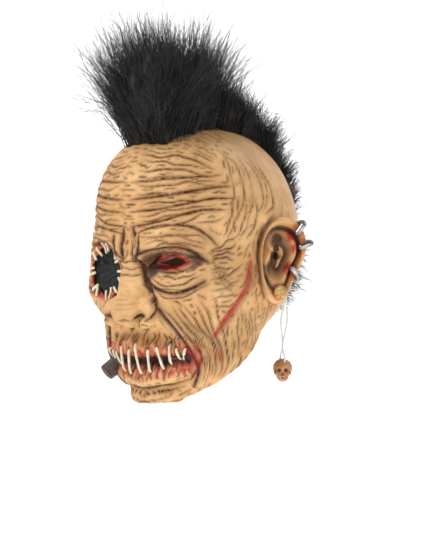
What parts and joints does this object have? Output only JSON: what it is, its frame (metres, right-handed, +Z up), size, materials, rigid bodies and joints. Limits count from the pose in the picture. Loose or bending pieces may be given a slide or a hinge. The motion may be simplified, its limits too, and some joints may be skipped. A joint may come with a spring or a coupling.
{
  "type": "punk latex mask",
  "caption": "Overhead latex horror mask with a stitched mouth, a gouged eye, a black fur mohawk, pierced ears, a hanging skull bead and a cigar stub.",
  "frame": {"origin": "where the inside of the crown rests on the top of the wearer's head, on the mask's middle plane", "axes": "+Z up through the crown, -Y out of the face, +X towards the wearer's left ear"},
  "size_m": [0.2218, 0.2835, 0.3582],
  "materials": {
    "latex": "soft satin latex",
    "fur": "long pile",
    "gauze": "matt",
    "silver": "satin",
    "gold": "rough gold",
    "cord": "matt",
    "bone": "antiqued",
    "cigar": "matt"
  },
  "bodies": {
    "root": {"mask_shell": "latex", "mohawk": "fur", "eye_gauze": "gauze", "ear_cuff_1": "silver", "ear_cuff_2": "silver", "ear_cuff_3": "silver", "lobe_plug": "gold", "pendant_cord": "cord", "skull_bead": "bone", "cigar_stub": "cigar"}
  },
  "joints": []
}
